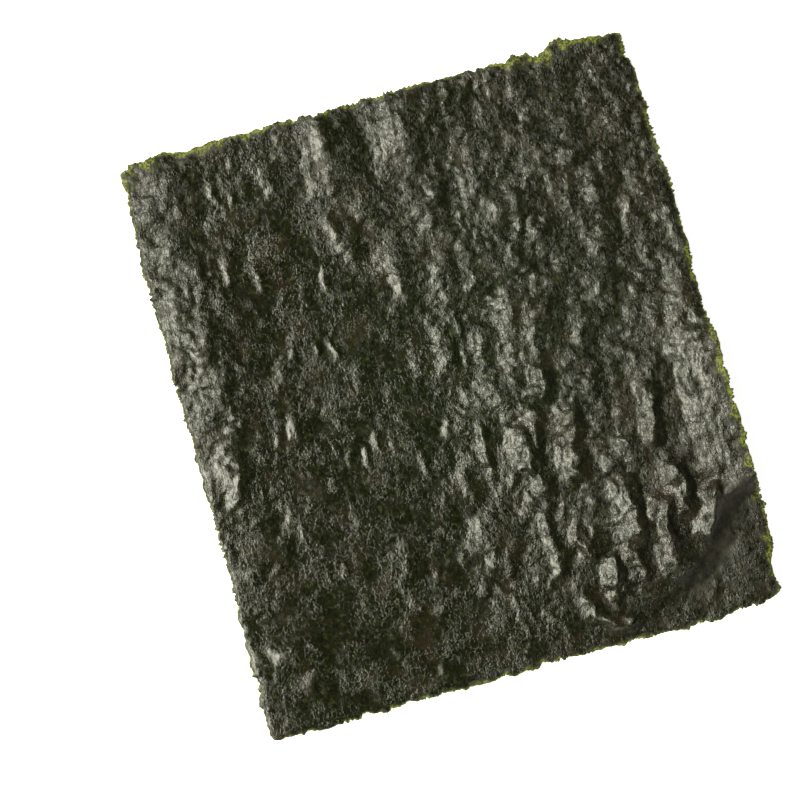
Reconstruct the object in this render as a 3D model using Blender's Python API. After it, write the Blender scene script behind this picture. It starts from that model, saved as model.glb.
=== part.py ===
"""A nori sheet: one thin leaf of pressed and dried laver, lying on a table.

The leaf is one solid. Its underside is a wavy height field over a ragged outline, pressed flat
wherever it touches the table, and its upper face is the same surface one thickness higher.
The leaf's long side runs along Y, its face looks up along +Z, and the origin is on the table
under the middle of the leaf. Sizes here are in millimetres and become metres in the mesh.
"""
import bpy
import bmesh
import numpy as np
from mathutils import Vector, kdtree
from mathutils.geometry import delaunay_2d_cdt

METRES = 0.001           # one millimetre in Blender's unit

# The leaf
LENGTH = 210.0           # along Y
TOP_WIDTH = 185.0        # along X at the +Y end
BOTTOM_WIDTH = 190.0     # along X at the -Y end, which spread a little more on the drying mat
THICKNESS = 0.35
COLOUR = (0.026, 0.028, 0.016)   # linear: black green
ROUGHNESS = 0.42

# The outline, anticlockwise from the bottom left corner
CORNER_RADII = (4.0, 5.0, 3.0, 8.0)
CORNER_STEPS = 8         # points on each corner's curve
EDGE_STEP = 1.9          # between points of the outline
# Where the edge swells out (+) or is drawn in (-): x, y, reach along the edge, how far
EDGE_SWELLS = (
    (95.0, -98.0, 7.0, -3.6),
    (92.0, -99.0, 2.5, 1.2),
    (94.0, -35.0, 30.0, 1.1),
    (93.5, 1.0, 3.0, -1.5),
    (93.5, 47.0, 6.0, 1.5),
    (92.5, 96.0, 9.0, -0.8),
    (73.0, 105.0, 7.0, 0.8),
    (84.0, 105.0, 4.0, -0.9),
    (-77.0, 105.0, 5.0, 1.1),
    (58.0, -105.0, 5.0, 1.0),
)
# Raggedness of the edge: spacing of the lobes, how far they reach, seed
EDGE_LOBES = ((26.0, 0.7, 11), (7.0, 0.55, 12), (3.4, 0.4, 13))

# The broad form: x, y, reach in X, reach in Y, height of each low swell
SWELLS = (
    (-76.0, 72.0, 13.0, 38.0, 1.7),      # along the left side
    (-79.0, 8.0, 11.0, 40.0, 1.3),
    (-20.0, 84.0, 16.0, 26.0, 1.1),
    (10.0, 66.0, 15.0, 30.0, 0.9),
    (38.0, 10.0, 24.0, 46.0, 1.4),
    (94.0, 10.0, 26.0, 40.0, 1.5),       # the right side stands off the table
    (92.0, -38.0, 24.0, 26.0, 2.2),
    (-94.0, -104.0, 16.0, 12.0, 1.8),    # the bottom left corner curls up
    (-40.0, -100.0, 26.0, 14.0, 0.8),
)
# The crumple by the bottom right corner: its ground plan is a swell cut off by a steep curved
# step, beyond which the corner lies flat again
CRUMPLE_CENTRE = (58.0, -52.0)
CRUMPLE_REACH = (34.0, 36.0)
CRUMPLE_HEIGHT = 3.0
STEP_CENTRE = (44.0, -44.0)      # the step's curve is an arc round this point
STEP_RADIUS = 46.0
STEP_WIDTH = 8.0

# Folds: x, y of the middle of the rising flank, lean from the Y axis in degrees (+ to the
# right at the top), length, width of the rising flank, height
FOLDS = (
    (47.5, -62.0, -16.0, 36.0, 6.5, 2.6),
    (64.0, -57.0, -14.0, 28.0, 6.5, 2.5),
    (57.0, -74.0, -6.0, 22.0, 5.5, 2.0),
    (75.0, -62.0, 14.0, 20.0, 5.5, 1.8),
    (31.0, -74.0, -26.0, 26.0, 5.0, 2.4),
    (64.0, -28.0, 8.0, 28.0, 6.0, 1.3),
    (35.0, -28.0, 12.0, 30.0, 5.0, 1.2),
    (22.0, -24.0, 4.0, 22.0, 5.0, 1.1),
    (16.0, -32.0, -12.0, 22.0, 5.5, 1.0),
    (28.0, -6.0, 8.0, 18.0, 5.5, 1.1),
    (4.0, -27.0, 4.0, 24.0, 4.0, 0.9),
    (52.0, -40.0, -12.0, 14.0, 5.0, 0.9),
    (24.5, 15.0, 12.0, 28.0, 5.0, 1.2),
    (35.0, 18.0, 22.0, 26.0, 6.0, 1.3),
    (49.0, 8.0, 12.0, 20.0, 4.5, 0.9),
    (57.0, 16.0, 10.0, 24.0, 5.0, 0.9),
    (12.5, 10.0, 10.0, 18.0, 4.0, 0.8),
    (39.0, 40.0, 26.0, 20.0, 4.5, 1.0),
    (65.0, 45.0, 8.0, 26.0, 5.5, 0.9),
    (31.5, 55.0, 14.0, 14.0, 5.5, 1.0),
    (8.0, 63.0, 16.0, 16.0, 4.5, 1.0),
    (17.5, 44.0, 4.0, 16.0, 4.0, 0.8),
    (4.5, 36.0, 4.0, 16.0, 5.0, 0.9),
    (3.0, 92.0, 6.0, 30.0, 7.0, 0.9),
    (-25.0, 88.0, 4.0, 28.0, 8.0, 1.3),
    (-25.0, 57.0, -10.0, 24.0, 5.0, 1.1),
    (-9.0, 42.0, 4.0, 22.0, 4.0, 0.9),
    (-57.0, 55.0, -10.0, 15.0, 4.0, 0.9),
    (-62.0, 11.0, 6.0, 20.0, 5.5, 0.9),
    (-33.0, 11.0, 14.0, 16.0, 5.5, 0.9),
    (-84.0, 38.0, 8.0, 22.0, 6.0, 0.8),
    (-85.0, -8.0, 16.0, 24.0, 8.0, 1.1),
    (-61.0, -26.0, -16.0, 14.0, 3.5, 0.7),
    (-47.0, -32.0, -4.0, 20.0, 4.0, 0.8),
    (-34.0, -57.0, -2.0, 16.0, 5.0, 0.9),
    (-4.0, -58.0, -4.0, 22.0, 6.5, 1.3),
    (-5.0, -36.0, -22.0, 16.0, 4.0, 0.9),
    (19.5, -60.0, 2.0, 22.0, 4.5, 0.9),
    (-84.0, -74.5, 88.0, 34.0, 8.0, 2.2),     # the crease across the bottom left corner
    (-76.0, -88.5, 76.0, 18.0, 5.0, 0.8),
    (86.0, 36.0, 4.0, 18.0, 6.0, 0.8),
    (84.0, 12.0, 6.0, 26.0, 7.0, 0.9),
)
FOLD_FALL = 0.75         # a fold falls away in this share of the width it rises in

# Ripples left by the mat and by drying: spacing, height, seed; they run along a slight lean
RIPPLES = ((44.0, 0.8, 21), (15.0, 0.42, 22), (8.5, 0.26, 23))
RIPPLE_LEAN = np.radians(8.0)
RIPPLE_STRETCH = 2.2     # how much longer than wide a ripple is
LIFT = -0.45             # mean height of the ripples over the table
SETTLE = 0.4             # heights under about this are pressed towards the table

# The triangles
INNER_STEP = 4.3         # between points inside the outline
JITTER = 0.22            # of that step, so that the triangles don't line up
RIM_CLEAR = 0.55         # of that step, kept free of inner points along the outline
NOISE_TABLE = 256
NOISE_MIDDLE = 64.0      # keeps lattice places positive


def noise(x, y, cell, seed):
    """Smooth seeded noise between about -1 and 1 whose bumps lie a cell apart."""
    angle = np.random.default_rng(seed).uniform(0, 2 * np.pi, (NOISE_TABLE, NOISE_TABLE))
    u, v = x / cell + NOISE_MIDDLE, y / cell + NOISE_MIDDLE
    i, j = np.floor(u).astype(int), np.floor(v).astype(int)
    u, v = u - i, v - j
    ease_u, ease_v = (t * t * t * (t * (6 * t - 15) + 10) for t in (u, v))
    total = np.zeros_like(u)
    for di in (0, 1):
        for dj in (0, 1):
            turn = angle[(i + di) % NOISE_TABLE, (j + dj) % NOISE_TABLE]
            weight = (ease_u if di else 1 - ease_u) * (ease_v if dj else 1 - ease_v)
            total += weight * (np.cos(turn) * (u - di) + np.sin(turn) * (v - dj))
    return 1.6 * total


def bump(distance_squared):
    """A round hill: 1 in the middle, falling softly to 0."""
    return np.exp(-0.5 * distance_squared)


def plain_outline(step):
    """The leaf's outline with rounded corners, before it frays, in even steps."""
    low, high = -LENGTH / 2, LENGTH / 2
    corners = np.array([(-BOTTOM_WIDTH / 2, low), (BOTTOM_WIDTH / 2, low),
                        (TOP_WIDTH / 2, high), (-TOP_WIDTH / 2, high)])
    points = []
    for k, (corner, radius) in enumerate(zip(corners, CORNER_RADII)):
        before, after = corners[k - 1] - corner, corners[(k + 1) % 4] - corner
        start = corner + before / np.linalg.norm(before) * radius
        end = corner + after / np.linalg.norm(after) * radius
        for t in np.linspace(0, 1, CORNER_STEPS):
            points.append((1 - t) ** 2 * start + 2 * t * (1 - t) * corner + t ** 2 * end)
    ring = np.array(points + points[:1])
    along = np.concatenate([[0], np.cumsum(np.linalg.norm(np.diff(ring, axis=0), axis=1))])
    places = np.linspace(0, along[-1], round(along[-1] / step), endpoint=False)
    return np.stack([np.interp(places, along, ring[:, axis]) for axis in (0, 1)], axis=1)


def outward(ring):
    """Unit normals of an anticlockwise ring of points."""
    run = np.roll(ring, -1, axis=0) - np.roll(ring, 1, axis=0)
    normal = np.stack([run[:, 1], -run[:, 0]], axis=1)
    return normal / np.linalg.norm(normal, axis=1, keepdims=True)


def outline(step):
    """The frayed outline: the plain one moved out and in by its swells and lobes."""
    ring = plain_outline(step)
    x, y = ring.T
    out = sum(far * bump(((x - px) ** 2 + (y - py) ** 2) / reach ** 2)
              for px, py, reach, far in EDGE_SWELLS)
    out = out + sum(far * noise(x, y, cell, seed) for cell, far, seed in EDGE_LOBES)
    return ring + outward(ring) * out[:, None]


def crumple(x, y):
    """The swell by the bottom right corner, cut off by its steep step."""
    swell = bump(((x - CRUMPLE_CENTRE[0]) / CRUMPLE_REACH[0]) ** 2
                 + ((y - CRUMPLE_CENTRE[1]) / CRUMPLE_REACH[1]) ** 2)
    beyond = np.hypot(x - STEP_CENTRE[0], y - STEP_CENTRE[1]) - STEP_RADIUS
    corner_side = np.clip((x - STEP_CENTRE[0] - (y - STEP_CENTRE[1])) / STEP_RADIUS, 0, 1)
    kept = np.clip(0.5 - beyond / STEP_WIDTH, 0, 1)
    kept = kept * kept * (3 - 2 * kept)
    return CRUMPLE_HEIGHT * swell * (1 - corner_side * (1 - kept)), corner_side * (1 - kept)


def fold(x, y, px, py, lean, length, width, height):
    """One fold: a soft ridge that rises over its width and falls away a little faster."""
    lean = np.radians(lean)
    across = (x - px) * np.cos(lean) - (y - py) * np.sin(lean) - width / 2
    along = (x - px) * np.sin(lean) + (y - py) * np.cos(lean)
    side = np.where(across < 0, across / width, across / (width * FOLD_FALL))
    profile = 0.5 + 0.5 * np.cos(np.pi * np.clip(side, -1, 1))
    return height * profile * np.clip(1 - (2 * along / length) ** 2, 0, 1) ** 1.5


def ripples(x, y):
    """Seeded ripples, longer along the leaf than across it."""
    across = x * np.cos(RIPPLE_LEAN) - y * np.sin(RIPPLE_LEAN)
    along = x * np.sin(RIPPLE_LEAN) + y * np.cos(RIPPLE_LEAN)
    return sum(high * noise(across, along / RIPPLE_STRETCH, cell, seed)
               for cell, high, seed in RIPPLES)


def underside(x, y):
    """Height of the leaf's underside over the table; 0 where the leaf lies on it."""
    ridge, flat_corner = crumple(x, y)
    free = LIFT + ridge + ripples(x, y) * (1 - 0.5 * flat_corner)
    for px, py, reach_x, reach_y, high in SWELLS:
        free = free + high * bump(((x - px) / reach_x) ** 2 + ((y - py) / reach_y) ** 2)
    for one in FOLDS:
        free = free + fold(x, y, *one) * (1 - flat_corner)
    free = np.maximum(free, 0)
    return free * free / (free + SETTLE)


def inner_points(ring):
    """A jittered triangular lattice that fills the outline."""
    tree = kdtree.KDTree(len(ring))
    for k, (x, y) in enumerate(ring):
        tree.insert((x, y, 0), k)
    tree.balance()
    normals = outward(ring)
    random = np.random.default_rng(31)
    points = []
    rows = np.arange(-LENGTH / 2, LENGTH / 2, INNER_STEP * 0.75 ** 0.5)
    for row, y in enumerate(rows):
        for x in np.arange(-BOTTOM_WIDTH / 2 + row % 2 * INNER_STEP / 2, BOTTOM_WIDTH / 2, INNER_STEP):
            point = np.array([x, y]) + random.uniform(-JITTER, JITTER, 2) * INNER_STEP
            near, k, gap = tree.find((*point, 0))
            if gap > INNER_STEP * RIM_CLEAR and (point - ring[k]) @ normals[k] < 0:
                points.append(point)
    return np.array(points)


def leaf_surface():
    """The leaf's underside as points in millimetres and the triangles between them."""
    ring = outline(EDGE_STEP)
    flat = np.concatenate([ring, inner_points(ring)])
    loop = list(range(len(ring)))
    flat, _, triangles, *_ = delaunay_2d_cdt([Vector(p) for p in flat], [], [loop], 1, 1e-6)
    flat = np.array(flat)
    height = underside(flat[:, 0], flat[:, 1])
    return np.column_stack([flat, height]), triangles


def leaf_mesh():
    """The closed leaf: its underside extruded straight up by one thickness."""
    points, triangles = leaf_surface()
    mesh = bpy.data.meshes.new("nori_sheet")
    mesh.from_pydata((points * METRES).tolist(), [], triangles)
    leaf = bmesh.new()
    leaf.from_mesh(mesh)
    grown = bmesh.ops.extrude_face_region(leaf, geom=leaf.faces[:], use_keep_orig=True)
    upper = [item for item in grown["geom"] if isinstance(item, bmesh.types.BMVert)]
    bmesh.ops.translate(leaf, verts=upper, vec=(0, 0, THICKNESS * METRES))
    bmesh.ops.recalc_face_normals(leaf, faces=leaf.faces[:])
    leaf.to_mesh(mesh)
    leaf.free()
    mesh.shade_smooth()
    mesh.set_sharp_from_angle(angle=np.radians(50))
    return mesh


def laver_material():
    """Dried laver: black green with a dull gloss."""
    material = bpy.data.materials.new("dried_laver")
    material.use_nodes = True
    shader = material.node_tree.nodes["Principled BSDF"]
    shader.inputs["Base Color"].default_value = (*COLOUR, 1)
    shader.inputs["Roughness"].default_value = ROUGHNESS
    shader.inputs["Metallic"].default_value = 0
    return material


def main():
    for old in list(bpy.data.objects):
        bpy.data.objects.remove(old, do_unlink=True)
    sheet = bpy.data.objects.new("nori_sheet", leaf_mesh())
    sheet.data.materials.append(laver_material())
    bpy.context.scene.collection.objects.link(sheet)


main()
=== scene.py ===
import math

import bpy
import numpy as np
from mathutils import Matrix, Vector, kdtree
from mathutils.geometry import delaunay_2d_cdt


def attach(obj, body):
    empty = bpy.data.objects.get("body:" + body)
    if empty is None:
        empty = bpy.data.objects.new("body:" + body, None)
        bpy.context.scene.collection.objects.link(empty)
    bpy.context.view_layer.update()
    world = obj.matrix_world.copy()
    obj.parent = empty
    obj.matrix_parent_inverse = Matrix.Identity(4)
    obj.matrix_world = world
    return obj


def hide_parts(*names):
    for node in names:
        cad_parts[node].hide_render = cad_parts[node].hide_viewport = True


# One nori sheet on a pale table, seen from straight above. Lengths in the dictionaries are
# millimetres, and +Y runs along the sheet's long side.

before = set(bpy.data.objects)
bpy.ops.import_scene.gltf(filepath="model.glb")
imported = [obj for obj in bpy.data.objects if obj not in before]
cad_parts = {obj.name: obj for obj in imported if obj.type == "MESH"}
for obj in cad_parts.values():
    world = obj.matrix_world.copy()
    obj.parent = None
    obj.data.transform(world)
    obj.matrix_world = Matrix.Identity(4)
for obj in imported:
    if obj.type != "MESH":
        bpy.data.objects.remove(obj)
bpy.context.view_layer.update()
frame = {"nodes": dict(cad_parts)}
mm = 0.001
print("frame loaded:", ", ".join(frame["nodes"]))


# A long lens straight overhead, so that the sheet's sides stay parallel
view = {
    "lens": 180.0,            # focal length on a 36 mm sensor
    "across": 282.6,          # width of table in the frame
    "middle": (-18.7, -0.7),  # point of the table in the middle of the frame
    "turn": -15.7,            # degrees, so that the sheet lies askew
}


def placeCamera():
    camera = bpy.data.cameras.new("camera")
    camera.lens = view["lens"]
    distance = view["across"] / 2 / (camera.sensor_width / 2 / camera.lens)
    holder = bpy.data.objects.new("camera", camera)
    holder.location = (view["middle"][0] * mm, view["middle"][1] * mm, distance * mm)
    holder.rotation_euler = (0, 0, math.radians(view["turn"]))
    bpy.context.scene.collection.objects.link(holder)
    bpy.context.scene.camera = holder


placeCamera()
print("camera placed")


# The outline: a plain sheet's, swollen here and drawn in there, then frayed
edge = {
    "length": 210.0,
    "topWidth": 185.0,
    "bottomWidth": 190.0,
    "cornerRadii": (4.0, 5.0, 3.0, 8.0),   # anticlockwise from the bottom left
    "cornerSteps": 8,
    "step": 0.4,              # between points of the outline
    # where the edge swells out (+) or is drawn in (-): x, y, reach, how far
    "swells": (
        (95.0, -98.0, 7.0, -3.6),
        (92.0, -99.5, 2.0, 1.4),
        (92.0, -95.5, 1.5, -0.9),
        (94.0, -35.0, 30.0, 1.1),
        (93.5, 1.0, 3.0, -0.6),
        (93.5, 9.0, 5.0, -1.1),
        (94.0, -10.0, 6.0, -0.5),
        (94.0, -45.0, 12.0, -0.7),
        (93.5, 47.0, 6.0, 1.5),
        (92.5, 96.0, 9.0, -0.8),
        (73.0, 105.0, 7.0, 0.8),
        (84.0, 105.0, 4.0, -0.9),
        (62.5, 105.0, 2.2, -1.5),
        (67.0, 105.0, 3.0, 1.0),
        (-77.0, 105.0, 5.0, 1.1),
        (58.0, -105.0, 5.0, 1.0),
    ),
    # lobes, and the finer torn scallops on them: spacing, reach, seed
    "lobes": ((26.0, 0.7, 11), (8.0, 0.9, 12), (3.6, 0.5, 13)),
    "frays": ((2.6, 0.4, 14), (1.2, 0.35, 15), (0.9, 0.3, 17)),
    "frayCrown": 0.5,         # of a scallop's reach, that its middle stands out
    "frayNick": 2.0,          # of its reach, that the nicks beside it may cut in
    "frayPatches": (9.0, 1.2, 16),   # stretches that are torn more: spacing, share, seed
}


# smooth seeded noise between about -1 and 1, its bumps a cell apart. It repeats after as many
# cells as its size, which is more than the sheet has, and the sheet lies round its middle cell
def noise(x, y, cell, seed):
    size, middle, gain = 256, 64.0, 1.6
    angle = np.random.default_rng(seed).uniform(0, 2 * np.pi, (size, size))
    u, v = x / cell + middle, y / cell + middle
    i, j = np.floor(u).astype(int), np.floor(v).astype(int)
    u, v = u - i, v - j
    easeU, easeV = (t * t * t * (t * (6 * t - 15) + 10) for t in (u, v))
    total = np.zeros_like(u)
    for di in (0, 1):
        for dj in (0, 1):
            turn = angle[(i + di) % size, (j + dj) % size]
            weight = (easeU if di else 1 - easeU) * (easeV if dj else 1 - easeV)
            total += weight * (np.cos(turn) * (u - di) + np.sin(turn) * (v - dj))
    return gain * total


# a round hill, 1 in the middle
def bump(distanceSquared):
    return np.exp(-0.5 * distanceSquared)


def smoothStep(t):
    t = np.clip(t, 0, 1)
    return t * t * (3 - 2 * t)


# rounded corners, before the edge frays
def plainOutline():
    low, high = -edge["length"] / 2, edge["length"] / 2
    wide, narrow = edge["bottomWidth"] / 2, edge["topWidth"] / 2
    corners = np.array([(-wide, low), (wide, low), (narrow, high), (-narrow, high)])
    points = []
    for k, (corner, radius) in enumerate(zip(corners, edge["cornerRadii"])):
        before, after = corners[k - 1] - corner, corners[(k + 1) % 4] - corner
        start = corner + before / np.linalg.norm(before) * radius
        end = corner + after / np.linalg.norm(after) * radius
        for t in np.linspace(0, 1, edge["cornerSteps"]):
            points.append((1 - t) ** 2 * start + 2 * t * (1 - t) * corner + t ** 2 * end)
    ring = np.array(points + points[:1])
    along = np.concatenate([[0], np.cumsum(np.linalg.norm(np.diff(ring, axis=0), axis=1))])
    places = np.linspace(0, along[-1], round(along[-1] / edge["step"]), endpoint=False)
    return np.stack([np.interp(places, along, ring[:, axis]) for axis in (0, 1)], axis=1)


def outwardNormals(ring):
    run = np.roll(ring, -1, axis=0) - np.roll(ring, 1, axis=0)
    normal = np.stack([run[:, 1], -run[:, 0]], axis=1)
    return normal / np.linalg.norm(normal, axis=1, keepdims=True)


def frayedOutline():
    ring = plainOutline()
    x, y = ring.T
    out = sum(far * bump(((x - px) ** 2 + (y - py) ** 2) / reach ** 2)
              for px, py, reach, far in edge["swells"])
    out = out + sum(far * noise(x, y, cell, seed) for cell, far, seed in edge["lobes"])
    # rounded flakes with sharp nicks between them
    frays = sum(far * (edge["frayCrown"] - edge["frayNick"] * np.abs(noise(x, y, cell, seed)))
                for cell, far, seed in edge["frays"])
    cell, more, seed = edge["frayPatches"]
    out = out + (1 + more * noise(x, y, cell, seed)) * frays
    return ring + outwardNormals(ring) * out[:, None]


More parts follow.
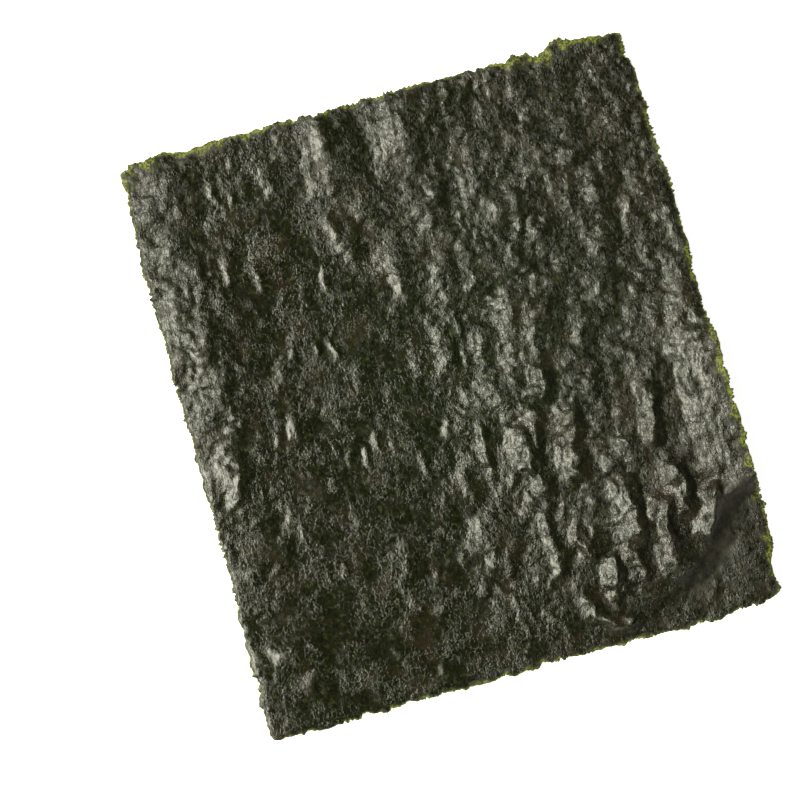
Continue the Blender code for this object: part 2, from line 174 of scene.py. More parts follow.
# The relief: one height field that both faces follow
relief = {
    # low swells of the whole sheet: x, y, reach in X, reach in Y, height
    "swells": (
        (-76.0, 72.0, 13.0, 38.0, 1.3),
        (-79.0, -4.0, 12.0, 40.0, 1.9),
        (-20.0, 84.0, 16.0, 26.0, 1.1),
        (10.0, 66.0, 15.0, 30.0, 0.9),
        (38.0, 10.0, 24.0, 46.0, 1.4),
        (97.0, 14.0, 22.0, 36.0, 2.2),
        (97.0, -38.0, 24.0, 26.0, 1.6),
        (-94.0, -104.0, 16.0, 12.0, 1.5),
        (-40.0, -100.0, 26.0, 14.0, 0.8),
    ),
    # the right border curls up: the slope's start and end in X, its upper end, rise
    "border": {"slope": (76.0, 95.0), "end": 12.0, "soft": 28.0, "height": 5.8},
    # and breaks into small terraces, which fall in a share of their spacing, wander by some
    # millimetres over a cell, and fade in up the slope and out at the edge
    "terraces": {"spacing": 3.6, "rise": 0.2, "fall": 0.3, "wander": 2.4, "cell": 5.0,
                 "stretch": 1.5, "seed": 57, "fadeIn": 5.0, "fadeOut": 3.0, "edge": 93.0},
    # the crumple by the bottom right corner and the border end at a steep slope, drawn smooth:
    # its middle line, its width, half the width that is smooth, and the share of the line over
    # which that fades at the lower end
    "crumple": {"centre": (58.0, -52.0), "reach": (34.0, 36.0), "height": 3.0},
    "step": {"run": ((98.0, -63.0), (90.0, -64.0), (84.0, -67.0), (80.0, -73.0),
                     (75.0, -81.5), (67.0, -88.5), (58.0, -94.0), (48.0, -98.0)),
             "width": 8.0, "smooth": 3.2, "fade": 0.45},
    # folds: x, y of the rising flank, lean from Y in degrees, length, flank width, height
    "folds": (
        (52.0, -40.0, -12.0, 14.0, 5.0, 0.9),
        (24.5, 15.0, 12.0, 28.0, 5.0, 1.2),
        (35.0, 18.0, 22.0, 26.0, 6.0, 1.3),
        (49.0, 8.0, 12.0, 20.0, 4.5, 0.9),
        (57.0, 16.0, 10.0, 24.0, 5.0, 0.9),
        (12.5, 10.0, 10.0, 18.0, 4.0, 0.8),
        (39.0, 40.0, 26.0, 20.0, 4.5, 1.0),
        (65.0, 45.0, 8.0, 26.0, 5.5, 0.9),
        (31.5, 55.0, 14.0, 14.0, 5.5, 1.0),
        (8.0, 63.0, 16.0, 16.0, 4.5, 1.0),
        (17.5, 44.0, 4.0, 16.0, 4.0, 0.8),
        (4.5, 36.0, 4.0, 16.0, 5.0, 0.9),
        (5.0, 92.0, 6.0, 32.0, 10.0, 2.3),
        (-24.5, 91.0, 4.0, 34.0, 10.0, 2.2),
        (-25.0, 57.0, -10.0, 24.0, 5.0, 1.1),
        (-9.0, 42.0, 4.0, 22.0, 4.0, 0.9),
        (-57.0, 55.0, -10.0, 15.0, 4.0, 0.9),
        (-62.0, 11.0, 6.0, 20.0, 5.5, 0.9),
        (-33.0, 11.0, 14.0, 16.0, 5.5, 0.9),
        (-84.0, 38.0, 8.0, 22.0, 6.0, 0.8),
        (-85.0, -8.0, 16.0, 24.0, 8.0, 1.1),
        (-61.0, -26.0, -16.0, 14.0, 3.5, 0.7),
        (-47.0, -32.0, -4.0, 20.0, 4.0, 0.8),
        (-34.0, -57.0, -2.0, 16.0, 5.0, 0.9),
        (-6.0, -58.0, -4.0, 30.0, 8.0, 1.1),
        (-5.0, -36.0, -22.0, 16.0, 4.0, 0.9),
        (-84.0, -74.5, 88.0, 34.0, 8.0, 1.5),
        (-76.0, -88.5, 76.0, 18.0, 5.0, 0.8),
        (86.0, 36.0, 4.0, 18.0, 6.0, 0.8),
        (84.0, 12.0, 6.0, 26.0, 7.0, 0.9),
    ),
    # crests of the longer folds, from their upper ends down: height, width of the flank on the
    # left, width on the right, points
    "crests": (
        (2.3, 6.8, 4.5, ((50.3, -46.0), (50.0, -58.0), (50.6, -66.0), (52.5, -74.0))),
        (2.2, 7.0, 4.2, ((68.4, -44.0), (69.2, -54.0), (69.0, -62.0), (71.0, -69.0))),
        (2.4, 7.2, 3.8,
         ((62.5, -56.0), (60.8, -66.0), (60.0, -72.0), (60.3, -80.0), (60.6, -88.0))),
        (1.3, 4.0, 3.0,
         ((62.0, -76.0), (64.0, -80.0), (66.5, -84.5), (61.0, -87.0), (56.5, -86.0))),
        (2.6, 7.5, 3.0,
         ((80.5, -58.0), (79.5, -63.0), (77.0, -69.0), (75.0, -74.0), (73.0, -79.0))),
        (1.1, 3.2, 3.0, ((28.7, -56.0), (29.2, -66.0), (31.2, -71.0), (36.0, -73.8))),
        (2.2, 6.5, 3.0, ((38.0, -72.0), (38.7, -78.0), (38.2, -83.0), (34.0, -86.0))),
        (1.0, 3.0, 2.5, ((41.5, -83.0), (39.5, -87.5), (33.0, -89.5))),
        (1.0, 2.8, 3.0, ((43.5, -70.0), (47.0, -78.0), (49.5, -86.0))),
        (0.6, 4.0, 4.0,
         ((23.5, -76.0), (25.0, -84.0), (27.5, -91.0), (33.0, -96.5), (43.0, -100.0))),
        (1.3, 4.0, 3.0,
         ((20.6, -49.0), (20.4, -57.0), (19.6, -62.0), (21.2, -68.0), (20.6, -77.0))),
        (1.9, 5.6, 4.0,
         ((68.3, -17.0), (66.7, -24.0), (65.6, -30.0), (64.2, -36.0), (63.6, -42.0))),
        (1.6, 4.8, 4.0,
         ((39.0, -15.0), (38.0, -24.0), (36.2, -32.0), (35.6, -40.0), (33.5, -48.0))),
        (1.5, 4.6, 3.5,
         ((24.5, -13.0), (25.0, -22.0), (22.6, -30.0), (21.5, -37.0), (23.6, -45.0),
          (24.6, -50.0))),
        (1.6, 6.5, 2.0, ((19.7, -18.0), (19.6, -28.0), (19.2, -40.0))),
        (1.0, 3.2, 3.0, ((7.0, -15.0), (6.0, -25.0), (5.3, -33.0), (4.6, -39.0))),
        (1.7, 5.5, 4.0, ((33.2, -1.0), (32.2, -9.0), (29.0, -15.0))),
    ),
    "crestRise": 1.15,       # times the heights of crests
    "crestEnds": 0.2,        # share of a crest's length in which it rises at either end
    # small folds and puckers between them, in the same order as the folds
    "puckers": (
        # top left
        (-83.0, 90.0, 0.0, 22.0, 12.0, 1.7), (-76.0, 98.0, 10.0, 10.0, 6.0, 1.0),
        (-87.0, 72.0, 5.0, 14.0, 8.0, 1.4), (-78.0, 68.0, 30.0, 8.0, 5.0, 0.8),
        (-89.0, 55.0, 0.0, 16.0, 7.0, 1.3), (-81.5, 57.0, 6.0, 14.0, 2.2, 0.45),
        (-77.0, 57.0, 12.0, 20.0, 3.0, 0.6), (-79.0, 38.0, 4.0, 18.0, 4.5, 0.8),
        (-87.0, 39.0, 8.0, 18.0, 7.0, 1.2), (-85.0, 18.0, 4.0, 22.0, 9.0, 1.2),
        (-72.5, 34.0, 6.0, 10.0, 2.0, 0.4), (-63.0, 86.0, -16.0, 11.0, 2.0, 0.5),
        (-57.5, 84.0, 14.0, 7.0, 1.6, 0.4), (-55.0, 96.0, 4.0, 7.0, 3.0, 0.6),
        (-52.5, 86.0, 4.0, 9.0, 3.0, 0.5), (-44.0, 86.0, -6.0, 14.0, 4.5, 0.55),
        (-22.0, 75.0, 0.0, 8.0, 2.5, 0.5), (-27.0, 64.0, 6.0, 14.0, 3.2, 0.7),
        (-21.0, 62.0, 0.0, 12.0, 3.0, 0.45), (-42.0, 43.5, 4.0, 10.0, 3.2, 0.7),
        (-33.0, 48.0, 20.0, 9.0, 2.2, 0.45), (-53.5, 25.0, 36.0, 15.0, 3.0, 0.6),
        (-37.5, 22.0, -8.0, 8.0, 2.5, 0.5), (-42.5, 25.0, 20.0, 6.0, 1.8, 0.4),
        (-22.0, 13.5, 10.0, 6.0, 4.0, 0.7), (-1.0, 12.0, 4.0, 18.0, 4.5, 1.0),
        (-10.5, 8.0, 30.0, 6.0, 4.0, 0.6), (-2.0, 85.0, 6.0, 22.0, 5.0, 0.9),
        (-1.0, 67.0, 20.0, 8.0, 4.0, 0.8), (-7.5, 56.0, 10.0, 8.0, 3.0, 0.5),
        (-77.5, 7.0, 10.0, 12.0, 4.0, 0.7), (-65.5, 60.0, 10.0, 12.0, 2.2, 0.4),
        # top right
        (2.5, 96.0, 4.0, 20.0, 5.0, 1.2), (7.5, 90.0, 6.0, 16.0, 4.0, 0.9),
        (15.0, 94.0, 60.0, 10.0, 4.0, 0.8), (5.0, 77.5, 70.0, 12.0, 5.0, 0.9),
        (3.0, 67.0, 30.0, 10.0, 4.5, 0.9), (12.5, 66.0, 16.0, 11.0, 4.0, 0.9),
        (5.5, 56.0, 20.0, 7.0, 4.0, 0.8), (18.5, 57.0, 10.0, 11.0, 2.8, 0.7),
        (15.5, 76.0, 20.0, 7.0, 3.0, 0.7), (20.5, 75.5, 22.0, 6.0, 1.5, 0.35),
        (24.0, 98.0, 64.0, 10.0, 2.4, 0.6), (31.5, 99.0, 46.0, 9.0, 2.4, 0.6),
        (28.0, 85.0, 24.0, 8.0, 3.0, 0.6), (28.0, 67.5, 35.0, 6.0, 1.8, 0.4),
        (37.0, 57.0, 36.0, 10.0, 4.0, 0.9), (35.5, 65.0, 6.0, 10.0, 3.0, 0.45),
        (17.5, 33.0, 8.0, 8.0, 3.0, 0.5), (9.5, 44.0, 4.0, 10.0, 3.0, 0.6),
        (34.0, 40.0, 20.0, 17.0, 4.0, 0.8), (37.5, 48.0, 10.0, 6.0, 2.0, 0.5),
        (42.5, 47.5, 30.0, 6.0, 2.0, 0.5), (46.5, 45.5, 52.0, 8.0, 3.0, 0.9),
        (44.5, 62.0, 20.0, 7.0, 2.0, 0.5), (52.0, 63.0, 20.0, 6.0, 3.5, 0.5),
        (60.5, 66.5, 20.0, 10.0, 6.0, 1.2), (57.0, 57.0, 6.0, 9.0, 4.0, 0.9),
        (66.0, 56.0, 4.0, 12.0, 3.2, 0.8), (64.0, 35.0, 60.0, 8.0, 4.0, 0.6),
        (76.0, 43.0, 6.0, 7.0, 2.0, 0.5), (82.0, 48.0, 6.0, 9.0, 3.0, 0.6),
        (74.0, 61.0, 60.0, 6.0, 1.8, 0.5), (77.0, 75.0, 30.0, 6.0, 4.0, 0.9),
        (82.0, 77.0, 50.0, 7.0, 2.5, 0.6), (88.0, 71.0, 45.0, 7.0, 2.2, 0.5),
        (80.5, 94.0, 60.0, 10.0, 3.0, 0.6), (56.5, 97.0, 4.0, 8.0, 5.0, 0.8),
        (48.0, 95.0, 4.0, 14.0, 5.0, 0.8), (72.5, 86.0, 36.0, 8.0, 4.0, 0.8),
        (48.0, 80.0, 8.0, 12.0, 4.5, 0.8), (31.0, 4.0, 8.0, 16.0, 3.5, 0.9),
        (7.0, 21.0, 10.0, 8.0, 1.8, 0.4), (7.2, 7.0, 2.0, 11.0, 1.8, 0.45),
        (63.5, 16.0, 6.0, 11.0, 3.0, 0.6), (74.0, 5.0, 6.0, 10.0, 3.2, 0.6),
        (85.0, 13.0, 6.0, 20.0, 7.0, 0.8), (89.0, 3.0, 10.0, 9.0, 3.0, 0.6),
        # bottom left
        (-93.0, -13.0, 0.0, 10.0, 4.0, 0.9), (-84.0, -14.0, 10.0, 12.0, 5.0, 0.8),
        (-75.5, -18.0, 24.0, 9.0, 2.2, 0.4), (-73.5, -39.5, 4.0, 9.0, 3.0, 0.45),
        (-64.5, -37.0, 4.0, 8.0, 2.5, 0.4), (-65.0, -4.0, 4.0, 10.0, 2.6, 0.6),
        (-58.5, -1.5, 4.0, 9.0, 4.5, 0.7), (-51.0, -8.0, 50.0, 6.0, 2.5, 0.5),
        (-85.0, -45.0, 36.0, 10.0, 4.0, 0.6), (-78.0, -46.0, 60.0, 8.0, 3.0, 0.5),
        (-46.0, -36.5, 10.0, 8.0, 2.6, 0.3), (-42.0, -16.0, 14.0, 8.0, 1.8, 0.35),
        (-36.0, -16.5, 6.0, 9.0, 2.0, 0.4), (-31.5, -14.0, -10.0, 9.0, 2.6, 0.6),
        (-25.5, -16.0, 0.0, 5.0, 1.8, 0.4), (-17.0, -24.0, 12.0, 12.0, 3.0, 0.55),
        (-6.5, -14.5, 14.0, 8.0, 3.0, 0.6), (-2.5, -28.0, 20.0, 8.0, 3.0, 0.5),
        (-13.0, -39.0, 10.0, 7.0, 2.0, 0.35), (-36.0, -65.0, -10.0, 8.0, 2.5, 0.4),
        (-24.0, -64.0, 10.0, 9.0, 2.6, 0.45), (-20.0, -65.0, 4.0, 10.0, 2.0, 0.4),
        (-13.5, -61.0, 0.0, 8.0, 3.0, 0.45), (-9.0, -72.5, 10.0, 6.0, 3.0, 0.6),
        (-55.0, -53.5, 4.0, 6.0, 3.0, 0.4), (-72.0, -77.0, -36.0, 10.0, 1.5, 0.45),
        (-76.0, -86.5, 52.0, 10.0, 3.5, 0.8),
        (-24.0, -75.0, 50.0, 7.0, 3.0, 0.4), (-33.0, -73.0, -20.0, 6.0, 1.6, 0.35),
        (-45.0, -86.0, 10.0, 6.0, 2.5, 0.4), (-30.5, -97.0, 0.0, 8.0, 1.8, 0.4),
        # bottom right
        (1.5, -9.0, 8.0, 14.0, 3.0, 0.7), (15.0, -13.0, 10.0, 8.0, 3.0, 0.5),
        (10.0, -36.0, 8.0, 12.0, 3.0, 0.7),
        (29.0, -34.0, 0.0, 10.0, 2.0, 0.5),
        (45.0, -42.5, 10.0, 9.0, 4.0, 0.7),
        (47.0, -13.0, 16.0, 12.0, 2.6, 0.6), (55.0, -12.0, 6.0, 10.0, 3.0, 0.5),
        (53.0, -25.0, 4.0, 8.0, 5.0, 0.8), (54.0, -34.0, 30.0, 12.0, 3.0, 0.5),
        (66.0, -15.5, 30.0, 8.0, 3.0, 0.7),
        (70.5, -10.0, 0.0, 10.0, 2.2, 0.5), (75.0, -27.0, 20.0, 14.0, 4.0, 0.7),
        (73.0, -43.0, 20.0, 12.0, 4.0, 0.8), (79.0, -30.0, 4.0, 34.0, 4.0, 0.6),
        (85.5, -20.0, -3.0, 24.0, 4.0, 0.5), (84.5, -46.0, 6.0, 18.0, 4.0, 0.5),
        (79.0, -52.0, 4.0, 14.0, 5.0, 0.6),
        (81.0, -6.0, 4.0, 16.0, 4.0, 0.7), (88.0, -4.0, 4.0, 14.0, 4.0, 0.7),
        (31.5, -63.0, 4.0, 10.0, 3.0, 0.6),
        (13.0, -91.0, -38.0, 11.0, 2.0, 0.5),
        (-2.5, -75.5, -42.0, 12.0, 1.5, 0.4), (1.0, -83.0, -6.0, 12.0, 1.4, 0.35),
        (2.0, -92.0, 4.0, 13.0, 1.4, 0.35), (4.5, -84.0, -20.0, 13.0, 1.5, 0.3),
        (24.5, -54.0, 4.0, 9.0, 1.5, 0.4), (5.5, -60.0, 10.0, 9.0, 3.0, 0.55),
        (1.5, -66.0, 10.0, 11.0, 3.0, 0.6), (17.0, -72.0, 4.0, 9.0, 3.0, 0.5),
        (68.5, -95.0, 10.0, 8.0, 3.5, 0.8), (82.0, -84.0, 20.0, 12.0, 4.0, 0.5),
        (62.0, -84.5, 0.0, 5.0, 4.0, 1.8), (26.0, -92.5, -24.0, 13.0, 4.2, 1.1),
        (30.5, -96.5, -10.0, 8.0, 4.5, 2.3), (37.0, -98.5, 0.0, 6.0, 4.5, 2.3),
    ),
    "rise": 0.85,             # times the heights of folds and puckers
    "crest": 0.12,            # share of a fold's width that its crest is rounded over
    "foldFall": 1.2,          # a fold falls away in this share of the width it rises in
    "foldEnds": 0.75,         # power of its fall at both ends: the smaller, the blunter they are
    "puckerFall": 0.9,        # and a pucker in this share of its
    "puckerRise": 0.75,       # times the heights of puckers once more
    "narrow": 3.6,            # width under which a pucker is steeper, and how much more at most
    "narrowRise": 1.0,
    # pleats break the folds up lengthwise: spacing, stretch, share of the height, seed
    "pleats": (1.9, 3.0, 0.2, 58),
    # broad ripples: spacing, height, seed
    "ripples": ((44.0, 0.8, 21), (15.0, 0.42, 22), (8.5, 0.26, 23)),
    "rippleLean": 8.0,        # degrees
    "rippleStretch": 1.1,     # along Y
    "flatRipples": 0.5,       # share of the ripples that the flat corner loses
    "lift": -0.45,            # of the whole form, so that its low spots come to lie on the table
    "settle": 0.4,            # over which it comes down to them softly
    # crinkles left by drying, over the whole sheet: spacing, height, stretch along Y, seed
    "crinkles": ((13.0, 0.55, 0.8, 41), (6.0, 0.32, 0.75, 42), (3.1, 0.14, 0.8, 43),
                 (2.0, 0.09, 0.8, 44)),
    # creases with a sharp crest, spaced like the crinkles
    "creases": ((8.0, 0.38, 0.75, 46), (4.2, 0.34, 0.65, 47), (2.4, 0.17, 0.7, 54)),
    "creaseCrown": 0.4,       # share of a crease's height over the sheet between creases
    "crinkleBase": 0.7,       # share of the crinkles' heights that the sheet stands on
    "creaseBase": 0.5,        # share of the creases' heights that counts there
    # how crinkled the sheet is, at least and at most, and the share of it that is lost where the
    # slope is drawn smooth
    "crinkled": 0.85,
    "crinkledRange": (0.15, 2.0),
    "smoothLoss": 0.8,
    # more or less crinkled stretches: x, y, reach in X, reach in Y, share
    "calm": (
        (-33.0, 15.0, 24.0, 64.0, -0.52),
        (-60.0, -76.0, 54.0, 40.0, -0.62),
        (20.0, -95.0, 40.0, 14.0, -0.35),
        (-45.0, -98.0, 60.0, 16.0, -0.3),
        (30.0, 0.0, 30.0, 60.0, 0.25),
        (85.0, -43.0, 10.0, 24.0, -0.75),
        (66.0, -52.0, 12.0, 16.0, -0.4),
        (-48.0, 80.0, 15.0, 34.0, -0.42),
        (-80.0, 60.0, 14.0, 50.0, 0.15),
    ),
    # a dull bloom on the gloss, thick (+) or thin (-), in the same way
    "bloom": (
        (-87.0, 62.0, 8.0, 46.0, 0.6),
        (-82.0, 94.0, 12.0, 12.0, 0.3),
        (-25.0, 90.0, 6.0, 15.0, 0.6),
        (4.0, 88.0, 9.0, 18.0, 0.5),
        (85.0, -92.0, 14.0, 14.0, 0.7),
        (50.0, -30.0, 40.0, 50.0, 0.5),
        (35.0, 70.0, 60.0, 34.0, 0.4),
        (-56.0, -80.0, 50.0, 40.0, -1.3),
        (-47.0, 76.0, 14.0, 32.0, -0.9),
        (-35.0, 25.0, 26.0, 54.0, -1.1),
    ),
    # where the fronds lie thin and green (+) or thick and brown (-), in the same way
    "greenness": (
        (20.0, 8.0, 32.0, 36.0, 1.0),
        (-30.0, 0.0, 20.0, 36.0, 0.4),
        (-60.0, -85.0, 30.0, 20.0, 0.2),
        (80.0, -66.0, 30.0, 30.0, -1.0),
        (88.0, 60.0, 14.0, 50.0, -0.5),
    ),
    # bends in the run of the crinkles, and in the outlines of the large form: spacing, reach, seed
    "sway": (45.0, 4.725, 49),
    "warps": ((6.0, 1.5, 48), (2.6, 0.5, 50)),
}


# the crumple's height, and how far a point lies beyond its step
def crumple(x, y):
    swell, step = relief["crumple"], relief["step"]
    hill = bump(((x - swell["centre"][0]) / swell["reach"][0]) ** 2
                + ((y - swell["centre"][1]) / swell["reach"][1]) ** 2)
    away, side, _ = alongRun(x, y, step["run"])
    flatCorner = smoothStep(0.5 + away * side / step["width"])
    return swell["height"] * hill * (1 - flatCorner), flatCorner


def raisedBorder(x, y):
    border, terraces = relief["border"], relief["terraces"]
    start, end = border["slope"]
    reached = np.clip((x - start) / (end - start), 0, 1)
    ends = smoothStep((border["end"] - y) / border["soft"])
    wander = terraces["wander"] * noise(
        x, y / terraces["stretch"], terraces["cell"], terraces["seed"])
    phase = (x + wander) / terraces["spacing"] % 1
    terrace = np.minimum(phase / (1 - terraces["fall"]), (1 - phase) / terraces["fall"])
    terrace = terrace * smoothStep((x - start) / terraces["fadeIn"])
    terrace = terrace * smoothStep((terraces["edge"] - x) / terraces["fadeOut"])
    return (border["height"] * reached + terraces["rise"] * terrace) * ends


def fold(x, y, px, py, lean, length, width, height, fall=None):
    lean = math.radians(lean)
    across = (x - px) * math.cos(lean) - (y - py) * math.sin(lean) - width / 2
    along = (x - px) * math.sin(lean) + (y - py) * math.cos(lean)
    side = np.where(across < 0, across / width, across / (width * (fall or relief["foldFall"])))
    # flat flanks that meet at a crest
    crest = relief["crest"]
    profile = np.clip((1 - np.sqrt(side * side + crest * crest)) / (1 - crest), 0, 1)
    ends = np.clip(1 - (2 * along / length) ** 2, 0, 1) ** relief["foldEnds"]
    return relief["rise"] * height * profile * ends


# a small fold, steeper where it is narrow
def pucker(x, y, px, py, lean, length, width, height):
    sharper = 1 + relief["narrowRise"] * max(0, 1 - width / relief["narrow"])
    return fold(x, y, px, py, lean, length, width, height * sharper, relief["puckerFall"])


# distance to a line through points, the side it is on (-1 left, 1 right of it going down) and
# the share of the line passed
def alongRun(x, y, run):
    run = np.array(run)
    away, side, passed, length = np.full_like(x, np.inf), np.ones_like(x), np.zeros_like(x), 0
    for start, end in zip(run[:-1], run[1:]):
        long = np.linalg.norm(end - start)
        way = (end - start) / long
        along = np.clip((x - start[0]) * way[0] + (y - start[1]) * way[1], 0, long)
        dx, dy = x - start[0] - along * way[0], y - start[1] - along * way[1]
        nearer = np.hypot(dx, dy) < away
        away = np.where(nearer, np.hypot(dx, dy), away)
        side = np.where(nearer, np.sign(way[0] * dy - way[1] * dx), side)
        passed = np.where(nearer, length + along, passed)
        length += long
    return away, side, passed / length


def crestOf(x, y, height, left, right, run):
    away, side, passed = alongRun(x, y, run)
    across = away / np.where(side < 0, left, right)
    crest = relief["crest"]
    profile = np.clip((1 - np.sqrt(across * across + crest * crest)) / (1 - crest), 0, 1)
    ends = smoothStep(np.minimum(passed, 1 - passed) / relief["crestEnds"])
    return relief["crestRise"] * height * profile * ends


# patches of something, each with its middle, its reach both ways and how much of it
def spread(x, y, patches):
    return sum(much * bump(((x - px) / reachX) ** 2 + ((y - py) / reachY) ** 2)
               for px, py, reachX, reachY, much in patches)


# how much of the smooth slope a point belongs to
def smoothness(x, y):
    step = relief["step"]
    away, _, passed = alongRun(x, y, step["run"])
    return bump((away / step["smooth"]) ** 2) * smoothStep((1 - passed) / step["fade"])


def leaning(x, y):
    lean = math.radians(relief["rippleLean"])
    return x * math.cos(lean) - y * math.sin(lean), x * math.sin(lean) + y * math.cos(lean)


# the large form, 0 where the sheet lies on the table
def settledForm(x, y):
    for cell, reach, seed in relief["warps"]:
        x, y = x + reach * noise(x, y, cell, seed), y + reach * noise(x, y, cell, seed + 1)
    ridge, flatCorner = crumple(x, y)
    across, along = leaning(x, y)
    ripples = sum(high * noise(across, along / relief["rippleStretch"], cell, seed)
                  for cell, high, seed in relief["ripples"])
    free = relief["lift"] + ridge + ripples * (1 - relief["flatRipples"] * flatCorner)
    free = free + raisedBorder(x, y) * (1 - flatCorner) + spread(x, y, relief["swells"])
    for one in relief["folds"]:
        free = free + fold(x, y, *one) * (1 - flatCorner)
    free = np.maximum(free, 0)
    settled = free * free / (free + relief["settle"])
    folded = sum(crestOf(x, y, *one) for one in relief["crests"])
    folded = folded + relief["puckerRise"] * sum(pucker(x, y, *one) for one in relief["puckers"])
    cell, stretch, share, seed = relief["pleats"]
    return settled + folded * (1 + share * noise(across, along / stretch, cell, seed))


def crinkled(x, y):
    across, along = leaning(x, y)
    cell, reach, seed = relief["sway"]
    across = across + reach * noise(x, y, cell, seed)
    total = sum(high * noise(across, along / stretch, cell, seed)
                for cell, high, stretch, seed in relief["crinkles"])
    crown = relief["creaseCrown"]
    total += sum(high * (crown - np.abs(noise(across, along / stretch, cell, seed)))
                 for cell, high, stretch, seed in relief["creases"])
    high = sum(one[1] for one in relief["crinkles"])
    high += relief["creaseBase"] * sum(one[1] for one in relief["creases"])
    share = relief["crinkled"] + spread(x, y, relief["calm"])
    share = np.clip(share, *relief["crinkledRange"])
    share = share * (1 - relief["smoothLoss"] * smoothness(x, y))
    return np.maximum(total * share + relief["crinkleBase"] * high, 0)


# The mesh: an upper face and an underside over one outline, joined by a rim
leaf = {
    "thickness": 0.35,
    "rimThickness": 0.1,      # one frond thick at the very edge
    "rimWidth": 1.8,          # over which the edge thins
    "upperStep": 0.76,        # between points of the upper face
    "underStep": 2.0,         # between points of the underside
    "jitter": 0.25,           # of that step
    "clear": 0.6,             # of that step, or of two of the outline's, kept free at the outline
    "margin": 2.0,            # of the lattice outside the plain sheet
    "seed": 31,
    # width of the single frond fringe: x, y, reach, width
    "fringe": (
        (56.0, 105.0, 8.0, 4.2),
        (72.0, 105.0, 9.0, 4.6),
        (-84.0, 104.0, 10.0, 3.0),
        (-60.0, 104.0, 16.0, 2.3),
        (94.0, 22.0, 8.0, 2.8),
        (94.0, -20.0, 15.0, 2.6),
        (94.0, -50.0, 16.0, 2.6),
        (94.0, -80.0, 11.0, 3.4),
        (93.0, 78.0, 14.0, 1.7),
        (0.0, -105.0, 44.0, 0.9),
        (-20.0, 105.0, 40.0, 1.0),
    ),
    "fringeLeast": 0.5,       # where none of these reaches
    # how the width wavers: the mean share, what is added to it (spacing, share, seed), the least
    # and most share, and the least width
    "fringeMean": 0.85,
    "fringeWaver": ((6.0, 1.1, 53), (2.6, 0.6, 51), (1.3, 0.3, 52)),
    "fringeRange": (0.05, 1.6),
    "fringeFloor": 0.2,
}


def depthInside(points, ring):
    tree = kdtree.KDTree(len(ring))
    for k, (x, y) in enumerate(ring):
        tree.insert((x, y, 0), k)
    tree.balance()
    normals = outwardNormals(ring)
    depth = np.empty(len(points))
    for n, (x, y) in enumerate(points):
        _, k, gap = tree.find((x, y, 0))
        inward = (x - ring[k][0]) * normals[k][0] + (y - ring[k][1]) * normals[k][1] < 0
        depth[n] = gap if inward else -gap
    return depth


# a jittered triangular lattice inside the outline, joined to it
def triangulate(ring, step):
    random = np.random.default_rng(leaf["seed"])
    halfLength = edge["length"] / 2 + leaf["margin"]
    halfWidth = edge["bottomWidth"] / 2 + leaf["margin"]
    # rows as far apart as equal sides make them, and every other one moved half a step
    rows = np.arange(-halfLength, halfLength, step * 0.75 ** 0.5)
    lattice = [(x + row % 2 * step / 2, y) for row, y in enumerate(rows)
               for x in np.arange(-halfWidth, halfWidth, step)]
    jitter = random.uniform(-1, 1, (len(lattice), 2)) * leaf["jitter"] * step
    lattice = np.array(lattice) + jitter
    clear = leaf["clear"] * min(step, 2 * edge["step"])
    inner = lattice[depthInside(lattice, ring) > clear]
    flat = [Vector(p) for p in np.concatenate([ring, inner])]
    insideOnly, mergeWithin, movedAtMost = 1, 1e-7, 1e-3
    flat, _, triangles, *_ = delaunay_2d_cdt(
        flat, [], [list(range(len(ring)))], insideOnly, mergeWithin)
    flat = np.array(flat)
    if np.abs(flat[:len(ring)] - ring).max() > movedAtMost:
        raise ValueError("the outline's points came back in another order")
    return flat, np.array(triangles)


# 1 at the edge, falling to 0 over the width of the fringe
def fringeOf(x, y, depth):
    width = leaf["fringeLeast"] + sum(wide * bump(((x - px) ** 2 + (y - py) ** 2) / reach ** 2)
                                      for px, py, reach, wide in leaf["fringe"])
    waver = leaf["fringeMean"] + sum(share * noise(x, y, cell, seed)
                                     for cell, share, seed in leaf["fringeWaver"])
    width = width * np.clip(waver, *leaf["fringeRange"])
    return np.clip(1 - depth / np.maximum(width, leaf["fringeFloor"]), 0, 1)


def makeLeaf():
    ring = frayedOutline()
    count = len(ring)
    upper, upperFaces = triangulate(ring, leaf["upperStep"])
    under, underFaces = triangulate(ring, leaf["underStep"])
    (x, y), (underX, underY) = upper.T, under.T
    depth, underDepth = (np.maximum(depthInside(flat, ring), 0) for flat in (upper, under))
    depth[:count] = underDepth[:count] = 0
    thicker = leaf["thickness"] - leaf["rimThickness"]
    thick = leaf["rimThickness"] + thicker * smoothStep(depth / leaf["rimWidth"])
    top = np.column_stack([x, y, settledForm(x, y) + crinkled(x, y) + thick])
    bottom = np.column_stack(
        [underX, underY, settledForm(underX, underY) + crinkled(underX, underY)])
    # the first points of both faces are the outline's, so the rim joins them one to one
    k = np.arange(count)
    nextK = (k + 1) % count
    sides = np.column_stack([k + len(top), nextK + len(top), nextK, k])
    lower = underFaces[:, ::-1] + len(top)
    mesh = bpy.data.meshes.new("nori_leaf")
    points = np.concatenate([top, bottom]) * mm
    mesh.from_pydata(
        points.tolist(), [], upperFaces.tolist() + lower.tolist() + sides.tolist())
    layers = {
        "fringe": (fringeOf(x, y, depth), fringeOf(underX, underY, underDepth)),
        "drawn_smooth": (smoothness(x, y), smoothness(underX, underY)),
    }
    for name in ("bloom", "greenness"):
        layers[name] = (spread(x, y, relief[name]), spread(underX, underY, relief[name]))
    for name, values in layers.items():
        layer = mesh.attributes.new(name, "FLOAT", "POINT")
        layer.data.foreach_set("value", np.concatenate(values).astype(np.float32))
    mesh.shade_smooth()
    mesh.validate()
    sheet = bpy.data.objects.new("nori_leaf", mesh)
    bpy.context.scene.collection.objects.link(sheet)
    print("leaf:", len(top) + len(bottom), "points,", len(mesh.polygons), "faces")
    return sheet


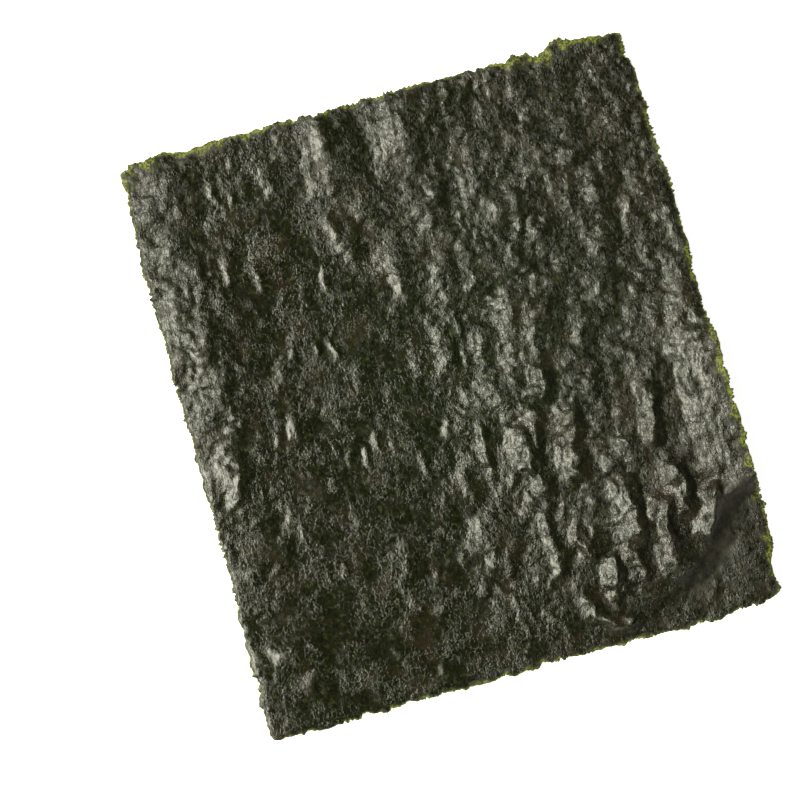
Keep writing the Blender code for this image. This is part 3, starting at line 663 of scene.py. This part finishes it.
def linear(hexColour):
    channels = [int(hexColour[i:i + 2], 16) / 255 for i in (1, 3, 5)]
    return (*[c / 12.92 if c <= 0.04045 else ((c + 0.055) / 1.055) ** 2.4 for c in channels], 1)


# a node with its settings and links: a value or a socket for each input
def addNode(tree, kind, inputs=None, **settings):
    node = tree.nodes.new(kind)
    for name, value in settings.items():
        setattr(node, name, value)
    for name, value in (inputs or {}).items():
        if isinstance(value, bpy.types.NodeSocket):
            tree.links.new(value, node.inputs[name])
        else:
            node.inputs[name].default_value = value
    return node


laver = {
    "dark": "#090904",        # several fronds thick
    "brown": "#221911",       # red brown pigment left in
    "green": "#2a2e13",       # where the fronds lie thin
    # the fringe's olive colours: partly the thin frond's own green, partly painted light shining
    # through the thin edge
    "fringeInnerGreenAndGlow": "#34390e",
    "fringeOuterGreenAndGlow": "#70771f",
    "thinTint": (0.82, 1.02, 0.8, 1),    # times the colour where the fronds lie thin, or thick
    "thickTint": (1.05, 0.92, 1.1, 1),
    # marks: mm across one, detail, seed
    "patch": (9.0, 3.0, 1.0),     # a patch of brown
    "frond": (1.6, 3.0, 2.0),     # a frond's scrap
    "grain": (0.55, 2.0, 3.0),    # a grain, drawn a little coarse so that it shows
    "crinkle": (1.3, 2.0, 4.0),   # the finest crinkles
    "flake": (3.4, 4.0, 5.0),     # a frond's flake
    "crack": (2.2, 3.0, 6.0),     # the space between fine cracks in the gloss
    "island": (10.0, 2.0, 7.0),   # an island of stronger or calmer relief
    "wrinkle": (0.8, 1.0, 8.0),   # the space between fine lengthwise wrinkles
    "streak": (0.6, 2.0, 9.0),    # a dull streak in the gloss
    "markRoughness": 0.6,
    "squeeze": 0.9,               # of marks along the sheet: the less, the longer they are
    "streakSqueeze": 0.35,        # of streaks and wrinkles
    # where a colour comes in: the value of its marks at none and at all of it
    "brownFrom": (0.5, 0.67),
    "greenFrom": (0.52, 0.7),
    "grainFrom": (0.35, 0.75),
    "grainGreen": 0.6,
    "innerFrom": (0.05, 0.26),
    "outerFrom": (0.08, 0.22),
    "fleckFrom": (0.54, 0.44),    # dark flecks in the fringe
    "fleckEdge": 0.3,             # how far into the fringe they come in
    "fleckShare": 0.8,
    # the gloss, and what makes it duller
    "roughness": (0.16, 0.28),
    "roughnessFrom": (0.3, 0.7),
    "glossiest": 0.16,
    "bloomDull": 0.08,
    "streakDull": 0.27,
    "streakFrom": (0.48, 0.62),
    "bloomFrom": (-1.0, 0.3),     # bloom that the fewest and all of the streaks need
    "thinnest": 0.12,             # share of the streaks where the bloom is thinnest
    "smoothDull": 0.36,
    "fringeDull": 0.45,
    "rimDull": 0.22,              # just inside the fringe
    "rimFrom": (0.0, 0.1),
    "rimTo": (0.4, 0.15),
    "mattDull": 0.02,             # where the bloom is thinnest, and more on every other flake
    "mattFlakeDull": 0.08,
    "mattFrom": (-1.1, -0.1),
    "ior": 1.5,
    "specularTint": (1, 0.985, 0.81, 1),
    # the finest relief, in mm
    "crinkleDepth": 0.2,
    "grainDepth": 0.1,
    "flakeStep": 0.05,
    "flakeFrom": (0.47, 0.53),
    "crackDepth": 0.04,
    "crackWidth": 0.035,          # share of a crack's marks
    "wrinkleDepth": 0.09,
    "islandFrom": (0.38, 0.62),
    "islands": (0.44, 1.2),       # share of the relief on the calmest and on the liveliest island
    "smoothCalm": -0.75,          # added to that share where the slope is drawn smooth
    "bloomLively": 0.2,           # and where the bloom is thick
}


# Dried and pressed laver: fronds overlap, so its black green is mottled, and the pressed
# surface has a dull gloss that breaks up on fine crinkles
def laverMaterial():
    material = bpy.data.materials.new("dried_pressed_laver")
    material.use_nodes = True
    tree = material.node_tree
    shader = tree.nodes["Principled BSDF"]
    place = addNode(tree, "ShaderNodeTexCoord").outputs["Object"]

    # coordinates in mm, squeezed along the sheet so that the marks run lengthwise
    def squeezed(share):
        return addNode(tree, "ShaderNodeMapping", {
            "Vector": place, "Scale": (1 / mm, share / mm, 1 / mm)}).outputs[0]

    longwise, drawnOut = squeezed(laver["squeeze"]), squeezed(laver["streakSqueeze"])

    def marks(name, run=longwise):
        size, detail, seed = laver[name]
        return addNode(tree, "ShaderNodeTexNoise", {
            "Vector": run, "Scale": 1 / size, "Detail": detail,
            "Roughness": laver["markRoughness"], "W": seed,
        }, noise_dimensions="4D").outputs["Fac"]

    def painted(name):
        return addNode(tree, "ShaderNodeAttribute", attribute_name=name).outputs["Fac"]

    def between(fac, low, high):
        return addNode(tree, "ShaderNodeMapRange", {
            "Value": fac, "From Min": low, "From Max": high,
        }, interpolation_type="SMOOTHSTEP").outputs[0]

    def scaled(fac, low, high, least, most):
        return addNode(tree, "ShaderNodeMapRange", {
            "Value": fac, "From Min": low, "From Max": high, "To Min": least, "To Max": most,
        }).outputs[0]

    def maths(operation, *values):
        return addNode(tree, "ShaderNodeMath", dict(enumerate(values)),
                       operation=operation).outputs[0]

    def blendColour(fac, first, second, mode="MIX"):
        # its sockets for colours have no names of their own
        node = addNode(tree, "ShaderNodeMix", {"Factor": fac, 6: first, 7: second},
                       data_type="RGBA", blend_type=mode)
        return node.outputs[2]

    patches, scraps, grains = marks("patch"), marks("frond"), marks("grain")
    dark, green = linear(laver["dark"]), linear(laver["green"])
    colour = blendColour(between(patches, *laver["brownFrom"]), dark, linear(laver["brown"]))
    colour = blendColour(between(scraps, *laver["greenFrom"]), colour, green)
    colour = blendColour(between(grains, *laver["grainFrom"]), colour,
                         blendColour(laver["grainGreen"], colour, green))
    greenness = painted("greenness")
    colour = blendColour(between(greenness, 0.0, 1.0), colour, laver["thinTint"], "MULTIPLY")
    colour = blendColour(between(greenness, 0.0, -1.0), colour, laver["thickTint"], "MULTIPLY")

    # the fringe pales in torn scraps and speckles towards the edge: partly the single frond's own
    # green, partly painted light, the table's light shining through the thin edge
    fringe = painted("fringe")
    torn = maths("MULTIPLY", fringe, scraps)
    speckled = maths("MULTIPLY", torn, grains)
    flecks = maths("MULTIPLY", between(grains, *laver["fleckFrom"]),
                   between(fringe, 0.0, laver["fleckEdge"]))
    colour = blendColour(between(torn, *laver["innerFrom"]), colour, linear(laver["fringeInnerGreenAndGlow"]))
    colour = blendColour(between(speckled, *laver["outerFrom"]), colour,
                         linear(laver["fringeOuterGreenAndGlow"]))
    colour = blendColour(maths("MULTIPLY", flecks, laver["fleckShare"]), colour, dark)
    tree.links.new(colour, shader.inputs["Base Color"])

    bloom, smooth = painted("bloom"), painted("drawn_smooth")
    flakes = between(marks("flake"), *laver["flakeFrom"])
    streaks = maths("MULTIPLY", between(marks("streak", drawnOut), *laver["streakFrom"]),
                    scaled(bloom, *laver["bloomFrom"], laver["thinnest"], 1.0))
    matt = maths("SUBTRACT", 1.0, between(bloom, *laver["mattFrom"]))
    rim = maths("MULTIPLY", between(fringe, *laver["rimFrom"]), between(fringe, *laver["rimTo"]))
    gloss = scaled(scraps, *laver["roughnessFrom"], *laver["roughness"])
    for layer, dull in (
            (bloom, "bloomDull"), (streaks, "streakDull"), (smooth, "smoothDull"),
            (fringe, "fringeDull"), (rim, "rimDull"), (matt, "mattDull"),
            (maths("MULTIPLY", matt, flakes), "mattFlakeDull")):
        gloss = maths("MULTIPLY_ADD", layer, laver[dull], gloss)
    gloss = maths("MAXIMUM", gloss, laver["glossiest"])
    tree.links.new(gloss, shader.inputs["Roughness"])
    shader.inputs["IOR"].default_value = laver["ior"]
    shader.inputs["Specular Tint"].default_value = laver["specularTint"]

    # cracks run where their marks cross the middle value
    middle = 0.5
    whole = between(maths("ABSOLUTE", maths("SUBTRACT", marks("crack"), middle)),
                    0.0, laver["crackWidth"])
    height = maths("MULTIPLY", marks("crinkle"), laver["crinkleDepth"])
    for layer, depth in ((grains, "grainDepth"), (flakes, "flakeStep"), (whole, "crackDepth"),
                         (marks("wrinkle", drawnOut), "wrinkleDepth")):
        height = maths("MULTIPLY_ADD", layer, laver[depth], height)
    lively = scaled(marks("island"), *laver["islandFrom"], *laver["islands"])
    lively = maths("MULTIPLY_ADD", smooth, laver["smoothCalm"], lively)
    lively = maths("MULTIPLY_ADD", bloom, laver["bloomLively"], lively)
    height = maths("MULTIPLY", height, lively)
    bumps = addNode(tree, "ShaderNodeBump", {"Height": height, "Strength": 1.0, "Distance": mm})
    tree.links.new(bumps.outputs[0], shader.inputs["Normal"])
    return material


sheet = makeLeaf()
sheet.data.materials.append(laverMaterial())
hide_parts("nori_sheet")
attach(sheet, "root")
print("sheet dressed")


# The table and the light
studio = {
    "floorWidth": 6000.0,
    "floorDrop": 0.05,        # under the frame's zero, so that the sheet doesn't meet it
    "floorColour": "#f4f4f4",
    "floorRoughness": 0.9,
    "floorSheen": 0.1,
    "floorGlow": 0.93,        # a light table, so that shadows on it stay pale
    "sky": 0.03,              # overhead
    "horizon": 0.3,
    "skyFade": (0.22, 0.5),   # sine of the heights between which the horizon's glow gives way
    "keyFrom": 184.0,         # degrees anticlockwise from the frame's right
    "keyHeight": 53.0,        # degrees over the table
    "keyDistance": 2200.0,
    "keySize": (2000.0, 1000.0),   # a long box, so that flanks that lean either way catch it
    "keyPower": 104.0,        # watts
}


# Frosted white acrylic lit from below: pale and even, with hardly any sheen
def floorMaterial():
    material = bpy.data.materials.new("frosted_acrylic_light_table")
    material.use_nodes = True
    shader = material.node_tree.nodes["Principled BSDF"]
    shader.inputs["Base Color"].default_value = linear(studio["floorColour"])
    shader.inputs["Roughness"].default_value = studio["floorRoughness"]
    shader.inputs["Specular IOR Level"].default_value = studio["floorSheen"]
    shader.inputs["Emission Color"].default_value = (1, 1, 1, 1)
    shader.inputs["Emission Strength"].default_value = studio["floorGlow"]
    return material


def makeFloor():
    half = studio["floorWidth"] / 2 * mm
    corners = [(-half, -half, 0), (half, -half, 0), (half, half, 0), (-half, half, 0)]
    mesh = bpy.data.meshes.new("floor")
    mesh.from_pydata(corners, [], [(0, 1, 2, 3)])
    floor = bpy.data.objects.new("floor", mesh)
    floor.location.z = -studio["floorDrop"] * mm
    bpy.context.scene.collection.objects.link(floor)
    mesh.materials.append(floorMaterial())


def addSoftbox(name, turn, height, distance, size, power):
    light = bpy.data.lights.new(name, "AREA")
    light.shape = "RECTANGLE"
    light.size, light.size_y = size[0] * mm, size[1] * mm
    light.energy = power
    holder = bpy.data.objects.new(name, light)
    turn, height = math.radians(turn + view["turn"]), math.radians(height)
    way = Vector((math.cos(turn) * math.cos(height), math.sin(turn) * math.cos(height),
                  math.sin(height)))
    holder.location = way * distance * mm
    holder.rotation_euler = way.to_track_quat("Z", "Y").to_euler()
    bpy.context.scene.collection.objects.link(holder)


def makeSky():
    world = bpy.data.worlds.new("studio")
    bpy.context.scene.world = world
    world.use_nodes = True
    tree = world.node_tree
    way = addNode(tree, "ShaderNodeTexCoord").outputs["Generated"]
    up = addNode(tree, "ShaderNodeSeparateXYZ", {0: way}).outputs[2]
    low, high = studio["skyFade"]
    glow = addNode(tree, "ShaderNodeMapRange", {
        "Value": up, "From Min": low, "From Max": high,
        "To Min": studio["horizon"], "To Max": studio["sky"]}).outputs[0]
    background = tree.nodes["Background"]
    tree.links.new(glow, background.inputs["Strength"])
    background.inputs["Color"].default_value = (1, 1, 1, 1)


makeFloor()
makeSky()
addSoftbox("key", studio["keyFrom"], studio["keyHeight"], studio["keyDistance"],
           studio["keySize"], studio["keyPower"])
bpy.context.scene.view_settings.view_transform = "Standard"
print("table lit")
